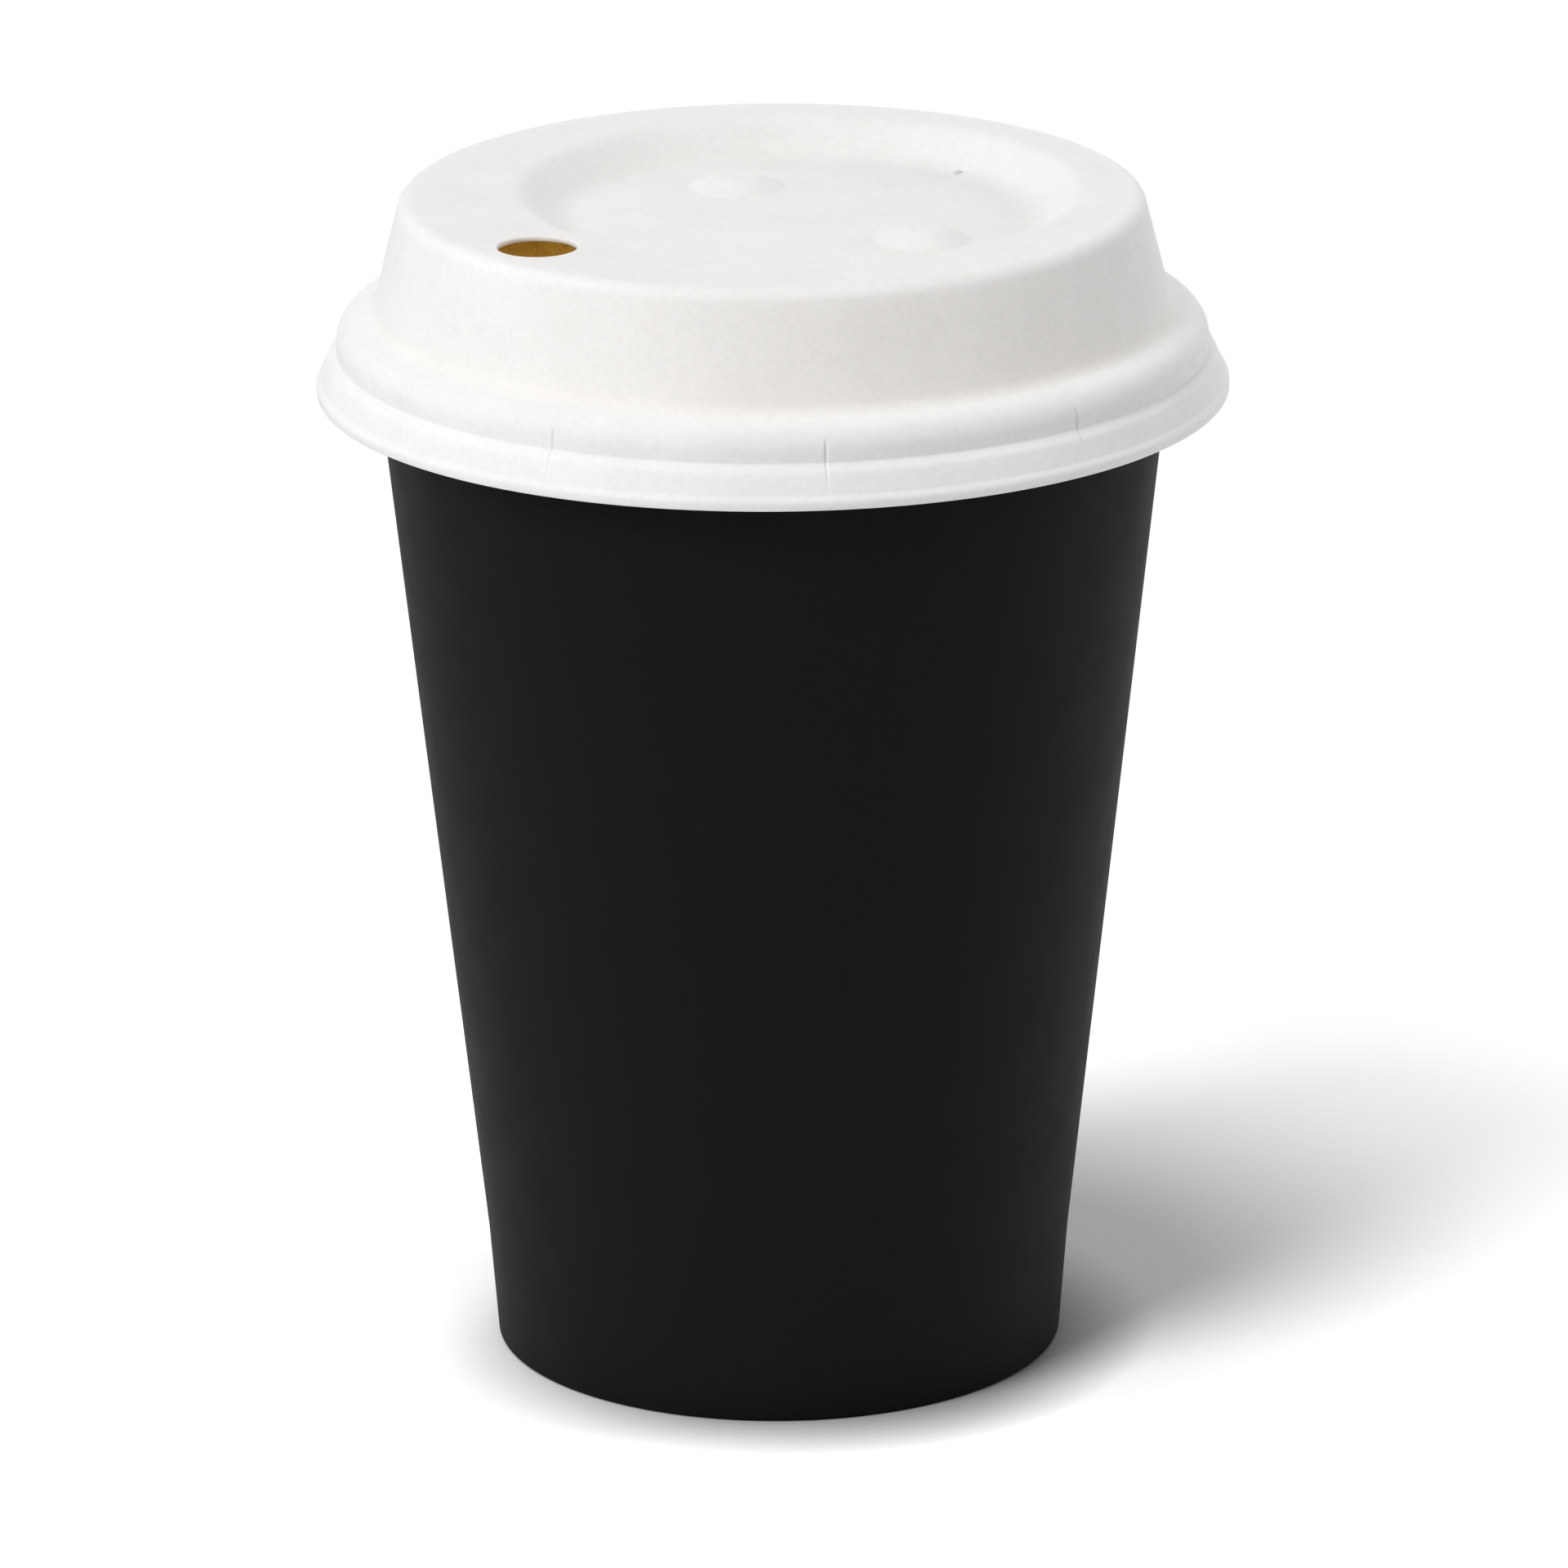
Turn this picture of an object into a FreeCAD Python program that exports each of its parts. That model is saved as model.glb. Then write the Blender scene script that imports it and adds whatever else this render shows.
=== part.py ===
# Take-away paper cup with a moulded-fibre lid.
# Millimetres, +Z up, origin at the centre of the ring that the cup stands on.

import FreeCAD, Part
import math
import os
import Sketcher
from FreeCAD import Placement, Rotation, Vector

DIMENSIONS = (
    # Board cup: one rolled, seamed and folded sheet, and a pressed base disc.
    ("board", 0.35, "thickness of the coated board"),
    ("foot_radius", 30.25, "outside radius of the wall at the table"),
    ("rim_radius", 45.0, "outside radius of the rim bead"),
    ("rim_height", 112.6, "top of the rim bead"),
    ("knee_flare", 0.95, "outward run of the bonded zone at the wall's bottom"),
    ("knee_rise", 4.45, "height of the bonded zone above the base disc"),
    ("bead_width", 2.72, "how far the rim bead stands out from the wall's cone"),
    ("bead_height", 3.05, "height of the rim bead"),
    ("bead_flat", 0.05, "straight run left between the bead's bends"),
    ("tuck_bend", 0.9, "bend where the board tucks back beside the wall"),
    ("tuck_gap", 0.12, "gap between the tucked board and the wall"),
    ("tuck_end", 0.29, "straight end of the tucked board, past its bend"),
    ("tuck_lean", 10.5, "lean of the tucked end away from the wall's side, in degrees"),
    ("fold_bend", 0.1, "inside bend of the folded foot"),
    ("glue_gap", 0.05, "bond line on each side of the base skirt"),
    ("base_recess", 7.2, "height of the base disc's underside"),
    ("base_bend", 0.5, "inside bend where the base disc turns down"),
    ("flap_gap", 0.4, "distance of the foot's flap below the base disc's bend"),
    ("skirt_end_gap", 0.05, "gap between the base skirt's end and the foot's inside bend"),
    ("seam_width", 7.0, "width of the lapped side seam"),
    ("seam_step", 0.3, "how far the lap stands out"),
    ("seam_end_gap", 1.0, "distance of the lap's ends from the foot and the bead"),
    # Moulded lid: one shell of even thickness.
    ("shell", 0.65, "thickness of the moulded fibre"),
    ("rim_play", 0.2, "radial gap between the rim bead and the lid"),
    ("seat_gap", 0.26, "height of the lid's shoulder above the rim bead"),
    ("shoulder_slope", 16.87, "fall of the shoulder, in degrees"),
    ("shoulder_width", 3.86, "width of the shoulder, from the dome's foot to its wall"),
    ("shoulder_ease", 0.54, "how much wider the shoulder bends inside than the rim bead"),
    ("dome_lean", 3.04, "inward run of the dome's wall"),
    ("dome_height", 12.1, "height of the dome above its foot"),
    ("dome_foot_bend", 1.78, "outside bend at the foot of the dome"),
    ("land_bend", 1.02, "inside bend of the top's outer corner"),
    ("crease_drop", 2.9, "depth of the crease below the rim's top"),
    ("crease_bend", 0.3, "outside bend in the crease"),
    ("flange_step", 0.8, "how far the flange steps out below the crease"),
    ("flange_step_drop", 0.75, "height of that step"),
    ("flange_bend", 0.65, "inside bend of the flange's upper edge"),
    ("flange_flare", 0.9, "outward run of the flange's wall"),
    ("flange_drop", 2.2, "height of the flange's wall"),
    ("lip_step", 0.45, "how far the lip stands out from the flange's wall, as far as it falls"),
    ("lip_bend", 0.13, "inside bend into the lip"),
    ("lip_upper_bend", 0.5, "outside bend above the lip"),
    ("lip_drop", 1.02, "height of the lip"),
    ("lid_turn", 41.4, "direction from the sip hole to the vent, in degrees"),
    ("land_wide", 13.05, "width of the land on the side of the sip hole"),
    ("land_narrow", 5.25, "width of the land on the side of the vent"),
    ("recess_slant", 4.6, "width of the recess's sloping wall"),
    ("recess_depth", 3.6, "depth of the recess"),
    ("recess_edge_bend", 2.8, "bend at the recess's edge"),
    ("recess_foot_bend", 5.0, "bend at the recess's foot"),
    ("bump_radius", 5.2, "radius of each bump"),
    ("bump_height", 1.3, "height of each bump"),
    ("bump_slant", 3.0, "width of each bump's slope"),
    ("bump_bend", 2.4, "bend over each bump's crown"),
    ("bump_forward", 3.9, "place of the bumps from the recess's centre, towards the vent"),
    ("bump_inset", 10.6, "distance of each bump's centre from the recess's foot, sideways"),
    ("hole_radius", 4.1, "radius of the sip hole"),
    ("hole_shift", 0.225, "how far the sip hole lies inside the middle of the land"),
    ("vent_radius", 0.3, "radius of the vent pinhole"),
    ("vent_inset", 0.2, "distance of the vent from the recess's foot, opposite the sip hole"),
    ("vent_side", 2.4, "place of the vent to its side"),
    ("crease_count", 10, "number of relief creases around the shoulder's wall"),
    ("crease_width", 0.35, "width of each relief crease"),
    ("crease_depth", 0.22, "depth of each relief crease"),
    ("crease_length", 2.1, "height of each relief crease"),
    ("crease_turn", 19.3, "direction of the first relief crease from the vent, in degrees"),
)

TOLERANCE = 1e-4

os.makedirs("parts", exist_ok=True)
doc = FreeCAD.newDocument("paper_cup")

sizes = doc.addObject("Spreadsheet::Sheet", "Sizes")
for row, (alias, number, note) in enumerate(DIMENSIONS, start=1):
    sizes.set("A%d" % row, alias)
    sizes.set("B%d" % row, str(number))
    sizes.set("C%d" % row, note)
    sizes.setAlias("B%d" % row, alias)
doc.recompute()


def cells(formula):
    """Spell a formula of size names as an expression on the sheet's cells."""
    for alias, _, _ in sorted(DIMENSIONS, key=lambda row: -len(row[0])):
        formula = formula.replace("$" + alias, "Sizes." + alias)
    return formula


def amount(formula):
    """The present value of a formula of size names."""
    result = sizes.evalExpression(cells(formula))
    return float(getattr(result, "Value", result))


def origin_plane(body, role):
    """One of the body's own origin planes or axes."""
    return next(item for item in body.Origin.OriginFeatures if item.Role == role)


def new_body(label):
    """An empty body whose label names its file."""
    body = doc.addObject("PartDesign::Body", label)
    body.Label = label
    return body


def new_sketch(body, name, role="XZ_Plane", shift=None):
    """A sketch on an origin plane; shift maps x, y and z of its offset to formulas."""
    sketch = body.newObject("Sketcher::SketchObject", name)
    sketch.AttachmentSupport = (origin_plane(body, role), [""])
    sketch.MapMode = "FlatFace"
    for axis, formula in (shift or {}).items():
        sketch.setExpression("AttachmentOffset.Base." + axis, cells(formula))
    doc.recompute()
    return sketch


def pin(sketch, geo, end, x, y):
    """Hold a point at formulas for its two coordinates."""
    for kind, formula in (("DistanceX", x), ("DistanceY", y)):
        index = sketch.addConstraint(Sketcher.Constraint(kind, geo, end, amount(formula)))
        sketch.setExpression("Constraints[%d]" % index, cells(formula))


def driven(sketch, formula, kind, *where):
    """A dimension whose value is a formula."""
    index = sketch.addConstraint(Sketcher.Constraint(kind, *where, amount(formula)))
    sketch.setExpression("Constraints[%d]" % index, cells(formula))


def bend(corner, before, after, radius):
    """Centre, first and last point of the arc that rounds a corner."""
    first = (before - corner).normalize()
    last = (after - corner).normalize()
    half = first.getAngle(last) / 2
    middle = (first + last).normalize()
    reach = radius / math.tan(half)
    return corner + middle * (radius / math.sin(half)), corner + first * reach, corner + last * reach


def arc_between(centre, start, end, radius):
    """An arc of less than half a turn, and whether it runs from start to end."""
    forward = (start - centre).cross(end - centre).z > 0
    first, last = (start, end) if forward else (end, start)
    angles = [math.atan2(point.y - centre.y, point.x - centre.x) for point in (first, last)]
    circle = Part.Circle(centre, Vector(0, 0, 1), radius)
    return Part.ArcOfCircle(circle, angles[0], angles[1]), forward


def draw_run(sketch, points, rounds):
    """Draw lines through the points with arcs at the rounded corners, joined tangentially.

    Returns the lines and the arcs (None where a corner is sharp), as geometry numbers.
    """
    starts, ends, bends = [], [], []
    count = len(points)
    for i in range(1, count - 1):
        if rounds[i] is None:
            bends.append(None)
        else:
            bends.append(bend(points[i], points[i - 1], points[i + 1], rounds[i]))
    for i in range(count - 1):
        starts.append(points[0] if i == 0 else (bends[i - 1][2] if bends[i - 1] else points[i]))
        ends.append(points[-1] if i == count - 2 else (bends[i][1] if bends[i] else points[i + 1]))
    lines = [sketch.addGeometry(Part.LineSegment(a, b), False) for a, b in zip(starts, ends)]
    arcs = []
    for i, turn in enumerate(bends):
        if turn is None:
            sketch.addConstraint(Sketcher.Constraint("Coincident", lines[i], 2, lines[i + 1], 1))
            arcs.append(None)
            continue
        curve, forward = arc_between(turn[0], turn[1], turn[2], rounds[i + 1])
        arc = sketch.addGeometry(curve, False)
        near, far = (1, 2) if forward else (2, 1)
        sketch.addConstraint(Sketcher.Constraint("Tangent", lines[i], 2, arc, near))
        sketch.addConstraint(Sketcher.Constraint("Tangent", arc, far, lines[i + 1], 1))
        arcs.append(arc)
    return lines, arcs


def hold_corners(sketch, lines, arcs, corners):
    """Hold a drawn run's inner corners to their formulas: virtual corners where they are rounded."""
    for i, arc in enumerate(arcs):
        x, y, radius = corners[i + 1]
        if arc is None:
            pin(sketch, lines[i], 2, x, y)
            continue
        spot = sketch.addGeometry(Part.Point(Vector(amount(x), amount(y), 0)), True)
        pin(sketch, spot, 1, x, y)
        sketch.addConstraint(Sketcher.Constraint("PointOnObject", spot, 1, lines[i]))
        sketch.addConstraint(Sketcher.Constraint("PointOnObject", spot, 1, lines[i + 1]))
        driven(sketch, radius, "Radius", arc)


def section(sketch, corners):
    """Draw a closed section with rounded corners; the first corner is sharp."""
    closed = list(corners) + [corners[0]]
    points = [Vector(amount(x), amount(y), 0) for x, y, _ in closed]
    rounds = [amount(radius) if radius else None for _, _, radius in closed]
    lines, arcs = draw_run(sketch, points, rounds)
    # The run's two ends are one point, so it is pinned once.
    pin(sketch, lines[0], 1, corners[0][0], corners[0][1])
    sketch.addConstraint(Sketcher.Constraint("Coincident", lines[-1], 2, lines[0], 1))
    hold_corners(sketch, lines, arcs, closed)


def bent_sheet(sketch, corners, thickness):
    """Draw the section of a bent sheet.

    One face runs through the corners (x, y, bend radius). The other lies a thickness away, on
    the right of that run, with concentric bends. Square ends close the section.
    """
    points = [Vector(amount(x), amount(y), 0) for x, y, _ in corners]
    rounds = [amount(radius) if radius else None for _, _, radius in corners]
    lines, arcs = draw_run(sketch, points, rounds)
    pin(sketch, lines[0], 1, corners[0][0], corners[0][1])
    hold_corners(sketch, lines, arcs, corners)
    pin(sketch, lines[-1], 2, corners[-1][0], corners[-1][1])

    gauge = amount(thickness)
    runs = [(b - a).normalize() for a, b in zip(points, points[1:])]
    normals = [Vector(run.y, -run.x, 0) for run in runs]
    far_points = [points[0] + normals[0] * gauge]
    far_rounds, far_formulas = [None], [None]
    for i in range(1, len(points) - 1):
        before, after = normals[i - 1], normals[i]
        far_points.append(points[i] + (before + after) * (gauge / (1 + before.dot(after))))
        sign = "+" if runs[i - 1].cross(runs[i]).z > 0 else "-"
        formula = "%s %s %s" % (corners[i][2], sign, thickness) if rounds[i] else None
        far_formulas.append(formula)
        far_rounds.append(amount(formula) if formula else None)
    far_points.append(points[-1] + normals[-1] * gauge)
    far_rounds.append(None)
    far_lines, far_arcs = draw_run(sketch, far_points, far_rounds)
    for near, far in zip(lines, far_lines):
        sketch.addConstraint(Sketcher.Constraint("Parallel", near, far))
        driven(sketch, thickness, "Distance", far, 1, near)
    for arc, formula in zip(far_arcs, far_formulas[1:]):
        if arc is not None:
            driven(sketch, formula, "Radius", arc)
    for end, line, far_line in ((1, lines[0], far_lines[0]), (2, lines[-1], far_lines[-1])):
        cap = sketch.addGeometry(Part.LineSegment(
            sketch.getPoint(line, end), sketch.getPoint(far_line, end)), False)
        sketch.addConstraint(Sketcher.Constraint("Coincident", cap, 1, line, end))
        sketch.addConstraint(Sketcher.Constraint("Coincident", cap, 2, far_line, end))
        sketch.addConstraint(Sketcher.Constraint("Perpendicular", cap, line))


def turned(body, kind, name, sketch):
    """Revolve a section all the way round the sketch's own upright axis."""
    feature = body.newObject("PartDesign::" + kind, name)
    feature.Profile = sketch
    feature.ReferenceAxis = (sketch, ["V_Axis"])
    feature.Angle = 360.0
    doc.recompute()
    return feature


def circle_edge(shape, radius, height):
    """Name of the level circular edge of this radius at this height."""
    for number, edge in enumerate(shape.Edges, start=1):
        curve = edge.Curve
        if isinstance(curve, Part.Circle) and abs(curve.Radius - radius) < TOLERANCE \
                and abs(curve.Center.z - height) < TOLERANCE:
            return "Edge%d" % number
    raise RuntimeError("no edge of radius %.3f at height %.3f" % (radius, height))


def check_change(body, before, grows, name):
    """Stop if a feature added nothing or cut nothing."""
    after = body.Shape.Volume
    if (after <= before) if grows else (after >= before):
        raise RuntimeError(name + " changed nothing")
    return after


# The wall's outer face: the bonded zone below the knee and the cone above it.
KNEE_RADIUS = "($foot_radius + $knee_flare)"
KNEE_HEIGHT = "($base_recess + $board + $knee_rise)"
MOUTH_RADIUS = "($rim_radius - $bead_width)"
ZONE_LEAN = "$knee_flare / %s" % KNEE_HEIGHT
CONE_LEAN = "(%s - %s) / ($rim_height - %s)" % (MOUTH_RADIUS, KNEE_RADIUS, KNEE_HEIGHT)
ZONE_ANGLE = "atan(%s)" % ZONE_LEAN
CONE_ANGLE = "atan(%s)" % CONE_LEAN
# The bead's bends fill its width or its height, whichever is less.
BEAD_SPAN = "($bead_width + $board / cos(%s))" % CONE_ANGLE
BEAD_BEND = "((min(%s; $bead_height) - $bead_flat) / 2)" % BEAD_SPAN


def zone_radius(height):
    return "($foot_radius + (%s) * %s)" % (height, ZONE_LEAN)


def cone_radius(height):
    return "(%s - ($rim_height - (%s)) * %s)" % (MOUTH_RADIUS, height, CONE_LEAN)


def lap_depth(radius):
    """Depth of the flat lap in the sheet: between its inner face and, at the lap's edges, its outer one."""
    return "(($board + %s - sqrt(%s ^ 2 - ($seam_width / 2) ^ 2)) / 2)" % (radius, radius)


def make_cup_wall():
    """Folded foot, bonded zone, cone and rolled rim bead, as one bent sheet turned round."""
    body = new_body("cup_wall")
    face = "$board / cos(%s)" % ZONE_ANGLE
    pocket = "($board + 2 * $glue_gap) / cos(%s)" % ZONE_ANGLE
    flap = "($base_recess - $base_bend - $flap_gap)"
    bead_floor = "($rim_height - $bead_height)"
    tuck = "(%s + $tuck_gap)" % cone_radius(bead_floor)
    tuck_turn = "tan((90 + $tuck_lean) / 2)"
    tuck_bend = "min($tuck_bend; ($rim_radius - %s - %s - $bead_flat) / %s)" % (tuck, BEAD_BEND, tuck_turn)
    tuck_length = "(%s * %s + $tuck_end)" % (tuck_bend, tuck_turn)
    # The run follows the sheet's bare face, which looks into the drink and out of the bead.
    corners = (
        ("%s - %s - %s" % (zone_radius(flap), face, pocket), flap, None),
        ("%s - %s - %s" % (zone_radius("$board"), face, pocket), "$board", "$fold_bend"),
        ("%s - %s" % (zone_radius("$board"), face), "$board", "$fold_bend"),
        ("%s - %s" % (KNEE_RADIUS, face), KNEE_HEIGHT, None),
        ("$rim_radius - %s" % BEAD_SPAN, "$rim_height", BEAD_BEND),
        ("$rim_radius", "$rim_height", BEAD_BEND),
        ("$rim_radius", bead_floor, BEAD_BEND),
        (tuck, bead_floor, tuck_bend),
        ("%s + %s * sin($tuck_lean)" % (tuck, tuck_length),
         "%s + %s * cos($tuck_lean)" % (bead_floor, tuck_length), None),
    )
    profile = new_sketch(body, "WallSection")
    bent_sheet(profile, corners, "$board")
    turned(body, "Revolution", "WallTurn", profile)
    volume = body.Shape.Volume

    # The lap is a flat strip from within the sheet to beyond its step, trimmed round below.
    low = "$seam_end_gap"
    high = "%s - $seam_end_gap" % bead_floor
    proud = "2 * $seam_step + $board"
    stations = ((zone_radius(low), low), (KNEE_RADIUS, KNEE_HEIGHT), (cone_radius(high), high))
    strip = new_sketch(body, "SeamSection", "YZ_Plane")
    section(strip, [("%s + %s" % (radius, proud), height, None) for radius, height in stations]
            + [("%s - %s" % (radius, lap_depth(radius)), height, None)
               for radius, height in reversed(stations)])
    pad = body.newObject("PartDesign::Pad", "SeamPad")
    pad.Profile = strip
    pad.Midplane = True
    pad.setExpression("Length", cells("$seam_width"))
    doc.recompute()
    volume = check_change(body, volume, True, "SeamPad")

    trim = new_sketch(body, "SeamTrim")
    far_out = "$rim_radius * 2"
    section(trim, (
        ("%s + $seam_step" % zone_radius("0"), "0", None),
        ("%s + $seam_step" % KNEE_RADIUS, KNEE_HEIGHT, None),
        ("%s + $seam_step" % cone_radius(bead_floor), bead_floor, None),
        (far_out, bead_floor, None),
        (far_out, "0", None),
    ))
    turned(body, "Groove", "SeamRound", trim)
    check_change(body, volume, False, "SeamRound")
    return body


def make_cup_base():
    """Recessed disc whose skirt is turned down between the wall and its flap."""
    body = new_body("cup_base")
    inset = "($board + $glue_gap) / cos(%s)" % ZONE_ANGLE
    top = "$base_recess + $board"
    end = "$board + $fold_bend + $skirt_end_gap"
    corners = (
        ("0", top, None),
        ("%s - %s" % (zone_radius(top), inset), top, "$base_bend + $board"),
        ("%s - %s" % (zone_radius(end), inset), end, None),
    )
    profile = new_sketch(body, "BaseSection")
    bent_sheet(profile, corners, "$board")
    turned(body, "Revolution", "BaseTurn", profile)
    return body


def make_lid():
    """One moulded shell, drawn with the sip hole towards -X, then turned to its place."""
    body = new_body("lid")
    skirt_radius = "($rim_radius + $rim_play + $shell)"
    crest_radius = "($rim_radius - ($bead_width + $board) / 2)"
    shoulder = ("($rim_height + $seat_gap + $shell / cos($shoulder_slope)"
                " - (%s - %s) * tan($shoulder_slope))" % (skirt_radius, crest_radius))
    shoulder_bend = "(%s + $shoulder_ease + $shell)" % BEAD_BEND
    dome_foot_radius = "(%s - $shoulder_width)" % skirt_radius
    dome_foot = "(%s + $shoulder_width * tan($shoulder_slope))" % shoulder
    land_radius = "(%s - $dome_lean)" % dome_foot_radius
    top = "(%s + $dome_height)" % dome_foot
    crease = "($rim_height - $crease_drop)"
    flange_top = "(%s + $flange_step)" % skirt_radius
    flange_foot = "(%s + $flange_flare)" % flange_top
    flange_floor = "(%s - $flange_step_drop - $flange_drop)" % crease
    lip_radius = "(%s + $lip_step)" % flange_foot
    lip_top = "(%s - $lip_step)" % flange_floor
    corners = (
        ("0", top, None),
        (land_radius, top, "$land_bend + $shell"),
        (dome_foot_radius, dome_foot, "$dome_foot_bend"),
        (skirt_radius, shoulder, shoulder_bend),
        (skirt_radius, crease, "$crease_bend"),
        (flange_top, "%s - $flange_step_drop" % crease, "$flange_bend + $shell"),
        (flange_foot, flange_floor, "$lip_upper_bend"),
        (lip_radius, lip_top, "$lip_bend + $shell"),
        (lip_radius, "%s - $lip_drop" % lip_top, None),
    )
    profile = new_sketch(body, "LidSection")
    bent_sheet(profile, corners, "$shell")
    turned(body, "Revolution", "LidTurn", profile)
    volume = body.Shape.Volume

    # The recess: a dish hung under the top, then hollowed from above.
    recess_radius = "(%s - ($land_wide + $land_narrow) / 2)" % land_radius
    recess_middle = "(($land_wide - $land_narrow) / 2)"
    slant = "atan($recess_slant / $recess_depth)"
    floor = "(%s - $recess_depth)" % top
    floor_radius = "(%s - $recess_slant)" % recess_radius
    side_shift = "$shell / cos(%s)" % slant
    inside = "$shell / 2"
    dish = new_sketch(body, "DishSection", shift={"x": recess_middle})
    section(dish, (
        ("0", "%s - %s" % (top, inside), None),
        ("0", "%s - $shell" % floor, None),
        ("%s + %s - $shell * tan(%s)" % (floor_radius, side_shift, slant), "%s - $shell" % floor,
         "$recess_foot_bend + $shell"),
        ("%s + %s - %s * tan(%s)" % (recess_radius, side_shift, inside, slant),
         "%s - %s" % (top, inside), None),
    ))
    turned(body, "Revolution", "Dish", dish)
    volume = check_change(body, volume, True, "Dish")

    above = "2 * $shell"
    hollow = new_sketch(body, "RecessSection", shift={"x": recess_middle})
    section(hollow, (
        ("0", "%s + %s" % (top, above), None),
        ("0", floor, None),
        (floor_radius, floor, "$recess_foot_bend"),
        ("%s + %s * tan(%s)" % (recess_radius, above, slant), "%s + %s" % (top, above), None),
    ))
    groove = turned(body, "Groove", "Recess", hollow)
    volume = check_change(body, volume, False, "Recess")
    edge = body.newObject("PartDesign::Fillet", "RecessEdge")
    edge.Base = (groove, [circle_edge(groove.Shape, amount(recess_radius), amount(top))])
    edge.setExpression("Radius", cells("$recess_edge_bend"))
    doc.recompute()
    volume = check_change(body, volume, False, "RecessEdge")

    # One bump beside the centre line: its crown above the floor and its hollow below.
    seat = {"x": "%s + $bump_forward" % recess_middle, "z": "$bump_inset - %s" % floor_radius}
    crown_radius = "($bump_radius - $bump_slant)"
    crown = new_sketch(body, "BumpSection", shift=seat)
    section(crown, (
        ("0", "%s - %s" % (floor, inside), None),
        ("0", "%s + $bump_height" % floor, None),
        (crown_radius, "%s + $bump_height" % floor, "$bump_bend"),
        ("$bump_radius", floor, None),
        ("$bump_radius", "%s - %s" % (floor, inside), None),
    ))
    bump = turned(body, "Revolution", "Bump", crown)
    volume = check_change(body, volume, True, "Bump")
    under = new_sketch(body, "BumpHollowSection", shift=seat)
    section(under, (
        ("0", "%s - %s" % (floor, above), None),
        ("0", "%s + $bump_height - $shell" % floor, None),
        (crown_radius, "%s + $bump_height - $shell" % floor, "$bump_bend"),
        ("$bump_radius", "%s - $shell" % floor, None),
        ("$bump_radius", "%s - %s" % (floor, above), None),
    ))
    pocket = turned(body, "Groove", "BumpHollow", under)
    volume = check_change(body, volume, False, "BumpHollow")
    mirrored = body.newObject("PartDesign::Mirrored", "OtherBump")
    mirrored.Originals = [bump, pocket]
    mirrored.MirrorPlane = (origin_plane(body, "XZ_Plane"), [""])
    body.Tip = mirrored
    doc.recompute()

    # Sip hole and vent, cut straight down.
    volume = body.Shape.Volume
    hole_place = "$land_wide / 2 + $hole_shift - %s" % land_radius
    vent_place = "%s + %s - $vent_inset" % (recess_middle, floor_radius)
    for name, forward, sideways, radius in (("SipHole", hole_place, "0", "$hole_radius"),
                                            ("Vent", vent_place, "$vent_side", "$vent_radius")):
        plan = new_sketch(body, name + "Plan", "XY_Plane", shift={"z": top})
        centre = Vector(amount(forward), amount(sideways), 0)
        circle = plan.addGeometry(Part.Circle(centre, Vector(0, 0, 1), amount(radius)))
        pin(plan, circle, 3, forward, sideways)
        driven(plan, radius, "Radius", circle)
        cut = body.newObject("PartDesign::Pocket", name)
        cut.Profile = plan
        cut.setExpression("Length", cells("2 * ($recess_depth + $shell)"))
        doc.recompute()
        volume = check_change(body, volume, False, name)

    # Relief creases: shallow upright slots in the shoulder's wall, up into its bend.
    slot = new_sketch(body, "CreaseSection")
    slot.AttachmentOffset = Placement(Vector(), Rotation(Vector(0, 1, 0), amount("$crease_turn")))
    slot.setExpression("AttachmentOffset.Rotation.Angle", cells("$crease_turn"))
    slot_top = "(%s + $crease_length)" % crease
    bend_middle = "(%s - %s * tan((90 - $shoulder_slope) / 2))" % (shoulder, shoulder_bend)
    surface = "%s - %s + sqrt(%s ^ 2 - (%s - %s) ^ 2)" % (
        skirt_radius, shoulder_bend, shoulder_bend, slot_top, bend_middle)
    outside = "%s + $crease_depth" % skirt_radius
    section(slot, (
        ("%s - $crease_depth" % skirt_radius, crease, None),
        (outside, crease, None),
        (outside, slot_top, None),
        ("%s - $crease_depth" % surface, slot_top, None),
    ))
    first = body.newObject("PartDesign::Pocket", "Crease")
    first.Profile = slot
    first.Midplane = True
    first.setExpression("Length", cells("$crease_width"))
    doc.recompute()
    volume = check_change(body, volume, False, "Crease")
    ring = body.newObject("PartDesign::PolarPattern", "CreaseRing")
    ring.Originals = [first]
    ring.Axis = (origin_plane(body, "Z_Axis"), [""])
    ring.Angle = 360.0
    ring.setExpression("Occurrences", cells("$crease_count"))
    body.Tip = ring
    doc.recompute()
    check_change(body, volume, False, "CreaseRing")

    body.Placement = Placement(Vector(0, 0, 0), Rotation(Vector(0, 0, 1), amount("$lid_turn")))
    body.setExpression("Placement.Rotation.Angle", cells("$lid_turn"))
    return body


parts = [make_cup_wall(), make_cup_base(), make_lid()]
doc.recompute()

for item in doc.Objects:
    if "Invalid" in item.State or "Error" in item.State:
        raise RuntimeError("%s failed: %s" % (item.Name, item.State))
for part in parts:
    shape = part.Shape
    if shape.isNull() or not shape.isValid() or len(shape.Solids) != 1:
        raise RuntimeError(part.Label + " is not one valid solid")

for part in parts:
    box = part.Shape.BoundBox
    part.Shape.exportStep("parts/%s.step" % part.Label)
    print("%-9s volume %8.1f mm3, z %.2f to %.2f, x %.2f to %.2f" % (
        part.Label, part.Shape.Volume, box.ZMin, box.ZMax, box.XMin, box.XMax))
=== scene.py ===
"""Looks of a take-away paper cup with a moulded-fibre lid.

Three closed meshes stand for the three solids, at the same sizes: the rolled and folded board
wall, the pressed base disc and the lid's shell.
"""

import math

import bpy
import numpy as np
from mathutils import Matrix, Vector
from mathutils import noise as fractal
from mathutils.geometry import delaunay_2d_cdt


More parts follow.
